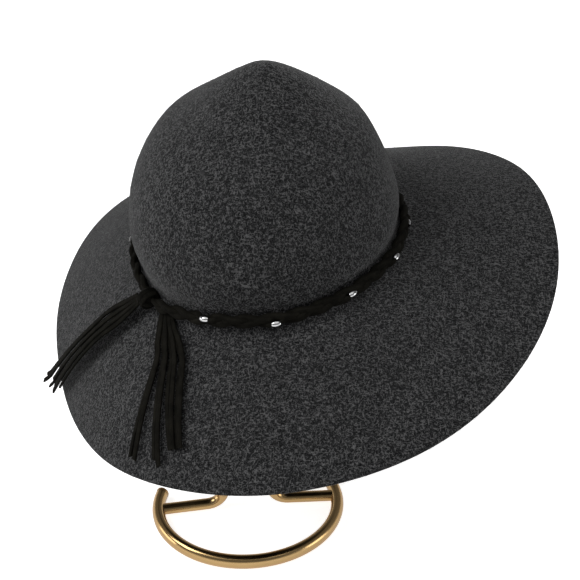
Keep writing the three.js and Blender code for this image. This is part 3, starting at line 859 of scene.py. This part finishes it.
let_go()
bpy.ops.mesh.primitive_uv_sphere_add(segments=32, ring_count=18, radius=1)
heart = bpy.context.object
edit_all(heart)
bpy.ops.transform.resize(value=tuple(KNOT_HEART))
let_go()
dress(heart, suede_finish)
heart.data.transform(knot_frame.to_4x4())
heart.data.transform(Matrix.Translation(knot_centre + SHIFT))
knot_parts = [heart]
for lean, roll, sideways, wider in WRAPS:
    wrap = straight_strip(
        "wrap", WRAP_LENGTH, WRAP_WIDE, WRAP_THICK, (WRAP_CUTS,), WRAP_BEVEL, segments=3
    )
    drop_ends(wrap)
    spin = Matrix.Rotation(math.radians(roll), 3, "X") @ Matrix.Rotation(math.radians(lean), 3, "Y")

    def wrap_place(x, spin=spin, sideways=sideways, wider=wider):
        angle = TURN * x / WRAP_LENGTH
        radial = Vector((0, math.cos(angle), math.sin(angle)))
        middle = radial * (WRAP_RADIUS + wider * MM) + Vector((sideways * MM, 0, 0))
        turn = knot_frame @ spin
        return turn @ middle + knot_centre, turn @ Vector((1, 0, 0)), turn @ radial

    lay_along(wrap, wrap_place)
    knot_parts.append(wrap)
merge(knot_parts, "knot_laces")
finish_mesh(heart, smooth_angle=60)
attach(heart, "root")
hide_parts("knot")
tell(heart)

# %% [markdown]
# The tassels are the laces' loose ends, spread over the brim. They lie still under their own
# weight, so no simulation is needed: one straight lace is modelled with a slanted cut at its
# end, and each copy is laid along its own curve over the brim. The curve goes through four
# stops, given as a share of the brim's width, a direction in degrees and a height.

# %% Laces over the brim
TASSEL_WIDE = 3 * MM
TASSEL_THICK = 1.5 * MM
TASSEL_BEVEL = 0.5 * MM
TASSEL_CUTS = 40
TASSEL_TRIM = 1.2 * MM
# how steeply the laces are cut off, and how far they twist in degrees, each taken in turn
SLANTS = (-0.2, 0.25, 0.25)
TWISTS = (6, -9, 12, -5)
TWIST_WAVE = 5
STRAIGHT_LENGTH = 80 * MM
LACE_LIFT = 1.7
LAYER_LIFT = 1.2
# a share of the brim's width and a height in mm for each stop; the rows hold each lace's
# directions at the four stops in degrees, and the share of the brim's width where it ends
FRONT_TASSEL = {
    "start": (0.05, 2.6), "near": (0.21, 0.8), "middle": (0.4, 0), "end_lift": 0,
    "laces": (
        (217.6, 224, 228.6, 232.2, 0.912), (218.5, 225.4, 229.9, 234.1, 0.922),
        (219.4, 227.3, 232.2, 239.2, 0.885), (220.3, 228.9, 233.7, 240.9, 0.915),
        (221.2, 230.7, 235.5, 242.6, 0.81), (222.1, 232.6, 237.4, 243.4, 0.8),
        (223, 234.4, 239, 244.2, 0.79), (223.9, 235.9, 240.2, 245, 0.785),
    ),
}
SIDE_TASSEL = {
    "start": (0.06, 9.5), "near": (0.24, 7), "middle": (0.43, 8), "end_lift": 5,
    "laces": (
        (205, 197.3, 193.7, 177.9, 1.055), (205.7, 198.7, 195, 179.4, 1.085),
        (206.4, 200.2, 196.2, 182.9, 1.05), (207.1, 201.6, 197.5, 184.4, 0.975),
        (207.8, 203.1, 198.8, 185.6, 0.99), (208.5, 204.5, 200, 187.4, 1.015),
        (209.2, 206, 201.3, 189.9, 0.94),
    ),
}


def smooth_line(stops, share):
    """A point on a smooth curve through the stops, spaced by the root of their distance."""
    stops = [Vector(stop) for stop in stops]
    stops = [stops[0] * 2 - stops[1], *stops, stops[-1] * 2 - stops[-2]]
    place = min(max(share, 0), 1) * (len(stops) - 3)
    row = min(int(place), len(stops) - 4)
    before, start, end, after = stops[row:row + 4]
    first, own, next_gap = (
        math.sqrt((b - a).length) for a, b in ((before, start), (start, end), (end, after))
    )
    slope = (start - before) / first - (end - before) / (first + own) + (end - start) / own
    last = (end - start) / own - (after - start) / (own + next_gap) + (after - end) / next_gap
    return cube_step(start, end, slope * own, last * own, place - row)


def brim_stops(tassel, lace, layer):
    start, near, middle, end, reach = lace
    stack = LACE_LIFT + layer * LAYER_LIFT
    return (
        (tassel["start"][0], math.radians(start), tassel["start"][1]),
        (tassel["near"][0], math.radians(near), stack + tassel["near"][1]),
        (tassel["middle"][0], math.radians(middle), stack + tassel["middle"][1]),
        (reach, math.radians(end), stack + tassel["end_lift"]),
    )


def over_brim(stops, share):
    at = smooth_line(stops, share)
    return brim_point(at.x, at.y, at.z * MM)


def lace_place(stops, share, twist):
    """The middle of a hanging lace, and its directions across and through."""
    step = 0.01
    ahead = (over_brim(stops, share + step) - over_brim(stops, share - step)).normalized()
    at = smooth_line(stops, share)
    normal = brim_normal(at.x, at.y)
    across = ahead.cross(normal).normalized()
    through = across.cross(ahead)
    angle = twist * math.sin(share * TWIST_WAVE)
    return (
        over_brim(stops, share),
        across * math.cos(angle) + through * math.sin(angle),
        through * math.cos(angle) - across * math.sin(angle),
    )


def make_tassel(name, tassel, node):
    """Lays all the laces of a tassel, as one piece."""
    straight = straight_strip(
        "straight", STRAIGHT_LENGTH, TASSEL_WIDE, TASSEL_THICK, (TASSEL_CUTS,), TASSEL_BEVEL,
        segments=2,
    )
    parts = []
    for number, lace in enumerate(tassel["laces"]):
        stops = brim_stops(tassel, lace, number % 2)
        route = [over_brim(stops, k / TASSEL_CUTS) for k in range(TASSEL_CUTS + 1)]
        length = sum((b - a).length for a, b in zip(route, route[1:]))
        part = add_object(f"{name}_{number}", straight.data.copy())
        slant = SLANTS[number % len(SLANTS)]
        edit_all(part)
        bpy.ops.mesh.bisect(
            plane_co=(STRAIGHT_LENGTH * (1 - TASSEL_TRIM / length), 0, 0),
            plane_no=(1, slant * STRAIGHT_LENGTH / length, 0),
            use_fill=True,
            clear_outer=True,
        )
        let_go()
        twist = math.radians(TWISTS[number % len(TWISTS)])

        def place(x, stops=stops, twist=twist):
            return lace_place(stops, x / STRAIGHT_LENGTH, twist)

        lay_along(part, place)
        parts.append(part)
    bpy.data.objects.remove(straight)
    merge(parts, name)
    bundle = parts[0]
    finish_mesh(bundle, smooth_angle=50)
    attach(bundle, "root")
    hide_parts(node)
    tell(bundle)


make_tassel("front_tassel", FRONT_TASSEL, "tassel_front")
make_tassel("side_tassel", SIDE_TASSEL, "tassel_side")

# %% [markdown]
# The stand is two bent rods. The ring lies on the floor, open at the back, with domed ends.
# The second rod starts at one side of the ring, runs in, turns up, goes over in a narrow arch
# inside the crown, and comes down the same way. Both start as straight rods with their ends
# beveled round, cut into short lengths, and are laid along their lines.

# %% Stand: the lines of its rods
STAND_TURN = Matrix.Rotation(math.radians(7), 3, "Z")
RING_WIDE = 71 * MM
RING_DEEP = 59 * MM
RING_FORWARD = 14 * MM
RING_OUT = 5 * MM
RING_UP = 6.2 * MM * math.cos(TURN / 24)
RING_SWEEP = 106
ARCH_ROD = 4.5 * MM
ARCH_WIDE = 19 * MM
ARCH_FORWARD = 9.5 * MM
ARCH_TOP = 371.9 * MM
FOOT_BEND = 13 * MM
ARCH_PAST = 1 * MM
JOINT_ANGLE = 91.5
# how many points make the ring, and the arch's run inwards, its bend, its climb and its top
RING_POINTS = 241
RUN_POINTS = 16
BEND_POINTS = 25
CLIMB_POINTS = 30
TOP_POINTS = 33


def ring_point(angle):
    """A point of the ring's middle line, the angle in degrees from the front."""
    across = RING_WIDE * math.sin(math.radians(angle))
    return Vector((across, -RING_FORWARD - RING_DEEP * math.cos(math.radians(angle)), RING_UP))


def arch_line():
    """Points of the arch's middle line from the ring's left side to its right side."""
    left = ring_point(-JOINT_ANGLE)
    foot = Vector((-ARCH_WIDE, -ARCH_FORWARD, RING_UP))
    shoulder = Vector((foot.x, foot.y, ARCH_TOP - ARCH_ROD - ARCH_WIDE))
    inwards = (foot - left).normalized()
    start, end = foot - inwards * FOOT_BEND, foot + Vector((0, 0, FOOT_BEND))
    pivot = start + Vector((0, 0, FOOT_BEND))
    run = [left.lerp(start, k / RUN_POINTS) for k in range(RUN_POINTS)]
    bend = [
        pivot + (inwards * math.sin(a) - Vector((0, 0, math.cos(a)))) * FOOT_BEND
        for a in np.linspace(0, TURN / 4, BEND_POINTS)
    ]
    climb = [end.lerp(shoulder, k / CLIMB_POINTS) for k in range(1, CLIMB_POINTS + 1)]
    half = [*run, *bend, *climb]
    top = [
        Vector((-ARCH_WIDE * math.cos(a), foot.y, shoulder.z + ARCH_WIDE * math.sin(a)))
        for a in np.linspace(0, math.pi, TOP_POINTS)[1:-1]
    ]
    return [*half, *top, *(Vector((-p.x, p.y, p.z)) for p in reversed(half))]


class Line:
    """A line of points that can be walked by length, with directions carried along it."""

    def __init__(self, points, first_side):
        self.points = points
        steps = [(b - a).length for a, b in zip(points, points[1:])]
        self.lengths = np.concatenate([[0], np.cumsum(steps)])
        self.length = float(self.lengths[-1])
        ends = [points[0] * 2 - points[1], *points, points[-1] * 2 - points[-2]]
        self.ahead = [(b - a).normalized() for a, b in zip(ends, ends[2:])]
        side = (first_side - self.ahead[0] * first_side.dot(self.ahead[0])).normalized()
        self.sides = [side]
        for before, after in zip(self.ahead, self.ahead[1:]):
            side = before.rotation_difference(after) @ side
            self.sides.append(side)

    def at(self, walked):
        """The middle, the side and the other side after walking a length, also past the ends."""
        row = int(min(max(np.searchsorted(self.lengths, walked) - 1, 0), len(self.points) - 2))
        run = float(self.lengths[row + 1] - self.lengths[row])
        share = float(walked - self.lengths[row]) / run
        held = min(max(share, 0), 1)
        side = self.sides[row].lerp(self.sides[row + 1], held).normalized()
        ahead = self.ahead[row].lerp(self.ahead[row + 1], held).normalized()
        middle = self.points[row].lerp(self.points[row + 1], held)
        return middle + ahead * (share - held) * run, side, side.cross(ahead)


ring_angles = np.linspace(-RING_SWEEP, RING_SWEEP, RING_POINTS)
ring_line = Line([ring_point(angle) for angle in ring_angles], Vector((0, 0, 1)))
arch_walk = Line(arch_line(), Vector((0, 0, 1)))
print(f"ring rod {ring_line.length / MM:.1f} mm, arch rod {arch_walk.length / MM:.1f} mm")

# %% Stand: bend the rods
ROD_SIDES = 32
STRAIGHT_RADIUS = 1 * MM
DOME_BEVEL = 0.93 * MM
DOME_REACH = 1.05 * MM


def end_edge(edge):
    """Whether an edge runs round one of a straight rod's two flat ends."""
    return any(len(face.verts) > 4 for face in edge.link_faces)


def bend_rod(name, line, wide, tall, past, rounds):
    """A rod with domed ends, laid along a line. past is how far it runs on at each end."""
    length = line.length + 2 * past
    let_go()
    bpy.ops.mesh.primitive_cylinder_add(
        vertices=ROD_SIDES, radius=STRAIGHT_RADIUS, depth=length,
        location=(length / 2, 0, 0), rotation=(0, TURN / 4, 0),
    )
    rod = bpy.context.object
    rod.name = name
    bpy.ops.object.transform_apply(location=True, rotation=True, scale=True)
    cut_across(rod, rounds)
    dress(rod, gold_finish)
    pick(rod, "edges", end_edge)
    bpy.ops.mesh.bevel(offset=DOME_BEVEL, segments=8, affect="EDGES", clamp_overlap=False)
    let_go()
    # the dome was made on a thin straight rod, so it is drawn out to the real rod's roundness
    for corner in rod.data.vertices:
        for end, inwards in ((0, 1), (length, -1)):
            inside = abs(corner.co.x - end)
            if inside < DOME_REACH:
                corner.co.x = end + inwards * inside * past / STRAIGHT_RADIUS

    def place(x):
        middle, side, other = line.at(x - past)
        across, through = other * (wide / STRAIGHT_RADIUS), side * (tall / STRAIGHT_RADIUS)
        return STAND_TURN @ middle, STAND_TURN @ across, STAND_TURN @ through

    lay_along(rod, place)
    finish_mesh(rod, smooth_angle=60)
    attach(rod, "root")
    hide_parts("stand")
    tell(rod)


bend_rod("stand_ring", ring_line, RING_OUT, RING_UP, RING_OUT, (10, 16))
bend_rod("stand_arch", arch_walk, ARCH_ROD, ARCH_ROD, ARCH_PAST, (20, 20))

# %% [markdown]
# Felt is never bare of loose hairs, and they soften its outline against the light. One hair
# is a bent, tapered three-sided strand. Some thousands of copies are scattered over the felt,
# each turned its own way, from one seeded random source so that every run is the same.

# %% Loose hairs on the felt
HAIRS = 6800
HAIR_SEED = 7
HAIR_RADIUS = 0.055 * MM
HAIR_LENGTHS = (2.5, 6.5)
HAIR_RISES = (0.1, 0.75)
HAIR_CURL = 0.9
HAIR_ROOT = 0.1 * MM
HAIR_ARC = 2.4
HAIR_TAPER = 0.5
HAIR_STATIONS = (0, 0.25, 0.5, 0.75, 1)

chance = np.random.default_rng(HAIR_SEED)
mesh = felt.data
mesh.calc_loop_triangles()
corners = np.array([v.co for v in mesh.vertices])
triangles = np.array([t.vertices for t in mesh.loop_triangles])
edge_a = corners[triangles[:, 1]] - corners[triangles[:, 0]]
edge_b = corners[triangles[:, 2]] - corners[triangles[:, 0]]
crosses = np.cross(edge_a, edge_b)
areas = np.linalg.norm(crosses, axis=1)
chosen = chance.choice(len(triangles), HAIRS, p=areas / areas.sum())
u, v = chance.random(HAIRS), chance.random(HAIRS)
over = u + v > 1
u[over], v[over] = 1 - u[over], 1 - v[over]
roots = corners[triangles[chosen, 0]] + edge_a[chosen] * u[:, None] + edge_b[chosen] * v[:, None]
normals = crosses[chosen] / areas[chosen][:, None]
wild = chance.normal(size=(HAIRS, 3))
ahead = wild - normals * np.sum(wild * normals, axis=1)[:, None]
ahead /= np.linalg.norm(ahead, axis=1)[:, None]
aside = np.cross(normals, ahead)
long = chance.uniform(*HAIR_LENGTHS, HAIRS) * MM
rise = chance.uniform(*HAIR_RISES, HAIRS) * MM
curl = chance.normal(size=HAIRS) * HAIR_CURL * MM
points, faces = [], []
for station in HAIR_STATIONS:
    middle = (
        roots
        + ahead * (long * (station - 0.5))[:, None]
        + aside * (curl * math.sin(station * math.pi))[:, None]
        + normals * (rise * math.sin(station * HAIR_ARC) - HAIR_ROOT)[:, None]
    )
    thick = HAIR_RADIUS * (1 - HAIR_TAPER * abs(2 * station - 1))
    for side in range(3):
        angle = side * TURN / 3
        points.append(middle + (aside * math.cos(angle) + normals * math.sin(angle)) * thick)
hair_points = np.stack(points, axis=1).reshape(-1, 3)
per_hair = 3 * len(HAIR_STATIONS)
for station in range(len(HAIR_STATIONS) - 1):
    for side in range(3):
        here, there = station * 3 + side, station * 3 + (side + 1) % 3
        faces.append((here, there, there + 3, here + 3))
last = 3 * (len(HAIR_STATIONS) - 1)
ends = [(2, 1, 0), (last, last + 1, last + 2)]
all_faces = [tuple(k * per_hair + c for c in face) for k in range(HAIRS) for face in faces + ends]
fuzz_mesh = bpy.data.meshes.new("felt_fuzz")
fuzz_mesh.from_pydata(hair_points.tolist(), [], all_faces)
fuzz = add_object("felt_fuzz", fuzz_mesh)
dress(fuzz, fuzz_finish)
finish_mesh(fuzz, smooth_angle=80)
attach(fuzz, "root")
tell(fuzz)

# %% [markdown]
# The setting is a plain white floor under soft studio light. The strongest light stands high
# on the left, one hangs over the hat, and two weaker ones stand low at both sides. The sky is
# white near the horizon and dim overhead. The floor glows, as a sweep of lit paper does, and
# polished metal mirrors it, but it throws no light up at the felt. Standard colours keep white
# white.

# %% Floor, light and colours
FLOOR_SIZE = 400
FLOOR_BELOW = 0.2 * MM
FLOOR_GLOW = 0.8
LIT_POINT = (0, 0, 0.3)
# each light's place, the size of its face and its power in watts
LIGHTS = {
    "top_light": ((0, -0.5, 2.4), (2.6, 2.2), 15),
    "left_light": ((-1.7, -0.5, 2), (1.2, 1.2), 25),
    "low_left_light": ((-2.3, -0.2, 0.45), (1.2, 0.8), 9.5),
    "low_right_light": ((2.2, -0.8, 0.6), (1, 1), 10),
}
# how bright the sky is at a height, from 0 straight below to 1 straight above
SKY = ((0.47, 0.15), (0.49, 1), (0.58, 1), (0.64, 0.2))

let_go()
bpy.ops.mesh.primitive_plane_add(size=FLOOR_SIZE, location=(0, 0, -FLOOR_BELOW))
floor = bpy.context.object
floor.name = "floor"
floor_finish, _, _ = new_material("pale_floor", {
    "Base Color": (0.97, 0.97, 0.97, 1), "Roughness": 0.8, "Specular IOR Level": 0.1,
    "Emission Color": (1, 1, 1, 1), "Emission Strength": FLOOR_GLOW,
})
dress(floor, floor_finish)
floor.visible_diffuse = False
floor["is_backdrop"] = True

for name, (place, size, power) in LIGHTS.items():
    lamp = add_object(name, bpy.data.lights.new(name, "AREA"))
    lamp.data.shape = "RECTANGLE"
    lamp.data.size, lamp.data.size_y = size
    lamp.data.energy = power
    lamp.location = place
    lamp.rotation_euler = (Vector(LIT_POINT) - Vector(place)).to_track_quat("-Z", "Y").to_euler()

world = bpy.data.worlds.new("studio")
world.use_nodes = True
web = world.node_tree
sky_place = add_node(web, "ShaderNodeTexCoord")
sky_parts = add_node(web, "ShaderNodeSeparateXYZ")
sky_height = add_node(web, "ShaderNodeMapRange", {"From Min": -1})
sky_light = add_node(web, "ShaderNodeValToRGB")
stops = sky_light.color_ramp.elements
for place, light in SKY:
    stops.new(place).color = (light, light, light, 1)
stops.remove(stops[0])
stops.remove(stops[-1])
join(
    web,
    (sky_place.outputs["Generated"], sky_parts.inputs[0]),
    (sky_parts.outputs["Z"], sky_height.inputs["Value"]),
    (sky_height.outputs["Result"], sky_light.inputs["Fac"]),
    (sky_light.outputs["Color"], web.nodes["Background"].inputs["Strength"]),
)
web.nodes["Background"].inputs["Color"].default_value = (1, 1, 1, 1)
bpy.context.scene.world = world
view = bpy.context.scene.view_settings
view.view_transform = "Standard"
view.look = "None"
view.exposure = 0
view.gamma = 1

# %% [markdown]
# Last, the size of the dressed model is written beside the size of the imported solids, so
# that the two can be compared.

# %% Compare the sizes and finish
dressed_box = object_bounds()
for name, solid, dressed in zip(("low", "high"), packed_box, dressed_box):
    past = [round((b - a) / MM, 2) for a, b in zip(solid, dressed)]
    print(f"{name} corner {past} mm from that of the solids")
